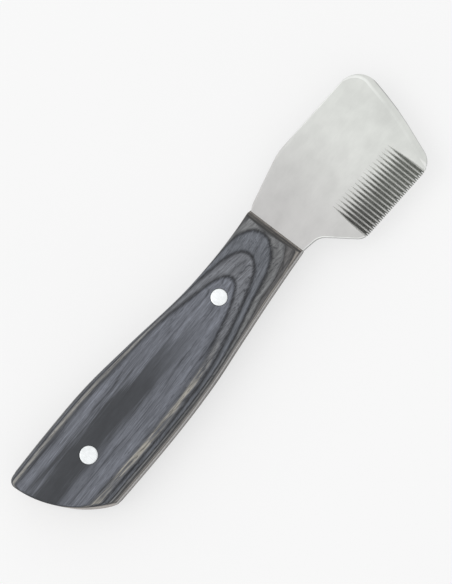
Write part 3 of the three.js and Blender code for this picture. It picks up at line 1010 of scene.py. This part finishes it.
pieces = [
    (scale("front_scale_wood", 1), "front_scale", laminate, "laminate"),
    (scale("back_scale_wood", -1), "back_scale", laminate, "laminate"),
    (dressed_blade(), "blade", steel, "blade_steel"),
    (pin("rear_pin_ground", REAR_PIN), "rear_pin", pin_metal, "pin_metal"),
    (pin("front_pin_ground", FRONT_PIN), "front_pin", pin_metal, "pin_metal"),
]
for piece, node, material, slot in pieces:
    piece.data.materials.clear()
    piece.data.materials.append(material)
    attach(piece, "root")
    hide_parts(node)

# ------------------------------------------------------------ floor, light and camera

FLOOR_SIDE = 3.0
FLOOR_COLOUR = srgb(246, 246, 246)
FLOOR_MOTTLE = ((6.0, 6.0, 6.0), 2.0, 0.5)
FLOOR_GLOW = 1.04
FLOOR_GLOW_SHARE = 0.65
SKY_STRENGTH = (0.7, 0.98)  # at the horizon, and from SKY_TOP upward
SKY_TOP = 0.9
KEY_PLACE = (-0.5, 0.7, 1.2)
KEY_SIZE = 1.2
KEY_POWER = 2.5


def floor():
    bpy.ops.mesh.primitive_plane_add(size=FLOOR_SIDE, location=(0, 0, 0))
    plane = bpy.context.object
    plane.name = "floor"
    s = Shader("floor_paper")
    place = s.node("ShaderNodeSeparateXYZ", Vector=s.place).outputs
    mottle = s.noise(place, FLOOR_MOTTLE)
    colour = s.scaled(FLOOR_COLOUR, s.vary(mottle, 0.985, 1.005))
    material = s.finish(Base_Color=colour, Roughness=0.9, Specular_IOR_Level=0.1)

    # Seen directly or in a reflection, the paper glows a little, so its shadow stays faint.
    path = s.node("ShaderNodeLightPath").outputs
    seen = s.larger(path["Is Camera Ray"], path["Is Glossy Ray"])
    seen = s.larger(seen, path["Is Transmission Ray"])
    glow = s.node("ShaderNodeEmission", Color=FLOOR_COLOUR, Strength=FLOOR_GLOW)
    blend = s.node("ShaderNodeMixShader", Fac=s.times(seen, FLOOR_GLOW_SHARE))
    s.feed(blend.inputs[1], s.surface.outputs[0])
    s.feed(blend.inputs[2], glow.outputs[0])
    s.feed(s.tree.nodes["Material Output"].inputs["Surface"], blend.outputs[0])
    plane.data.materials.append(material)


def sky():
    world = bpy.data.worlds.new("studio")
    bpy.context.scene.world = world
    world.use_nodes = True
    nodes = world.node_tree.nodes
    links = world.node_tree.links
    background = nodes["Background"]
    direction = nodes.new("ShaderNodeTexCoord").outputs["Generated"]
    split = nodes.new("ShaderNodeSeparateXYZ")
    links.new(direction, split.inputs[0])
    ramp = nodes.new("ShaderNodeMapRange")
    links.new(split.outputs["Z"], ramp.inputs["Value"])
    ramp.inputs["From Min"].default_value = 0.0
    ramp.inputs["From Max"].default_value = SKY_TOP
    ramp.inputs["To Min"].default_value = SKY_STRENGTH[0]
    ramp.inputs["To Max"].default_value = SKY_STRENGTH[1]
    links.new(ramp.outputs[0], background.inputs["Strength"])
    background.inputs["Color"].default_value = (1.0, 1.0, 1.0, 1.0)


def key_light():
    lamp = bpy.data.lights.new("key", "AREA")
    lamp.shape = "DISK"
    lamp.size = KEY_SIZE
    lamp.energy = KEY_POWER
    holder = bpy.data.objects.new("key", lamp)
    bpy.context.scene.collection.objects.link(holder)
    holder.location = KEY_PLACE
    holder.rotation_euler = (-Vector(KEY_PLACE)).to_track_quat("-Z", "Y").to_euler()


VIEW_CENTRE = (-24.18, 0.0, 0.0)  # what the camera looks at, in the layout
VIEW_TILT = (math.radians(2.0), math.radians(11.0))
VIEW_TURN = math.radians(51.3)
VIEW_HEIGHT = 177.6  # what the picture takes in at the knife, mm
VIEW_DISTANCE = 1.3


def camera():
    target = Vector(to_row(VIEW_CENTRE))
    back = Vector((math.sin(VIEW_TILT[0]), -math.tan(VIEW_TILT[1]), 1.0)).normalized()
    along = Vector((1, 0, 0))
    along = (along - along.dot(back) * back).normalized()
    across = back.cross(along)
    right = math.cos(VIEW_TURN) * along - math.sin(VIEW_TURN) * across
    up = math.sin(VIEW_TURN) * along + math.cos(VIEW_TURN) * across
    data = bpy.data.cameras.new("camera")
    data.sensor_fit = "VERTICAL"
    data.angle = 2 * math.atan(VIEW_HEIGHT * MM / 2 / VIEW_DISTANCE)
    holder = bpy.data.objects.new("camera", data)
    bpy.context.scene.collection.objects.link(holder)
    turn = Matrix((right, up, back)).transposed().to_4x4()
    holder.matrix_world = Matrix.Translation(target + VIEW_DISTANCE * back) @ turn
    bpy.context.scene.camera = holder


floor()
sky()
key_light()
camera()
bpy.context.scene.view_settings.view_transform = "Standard"
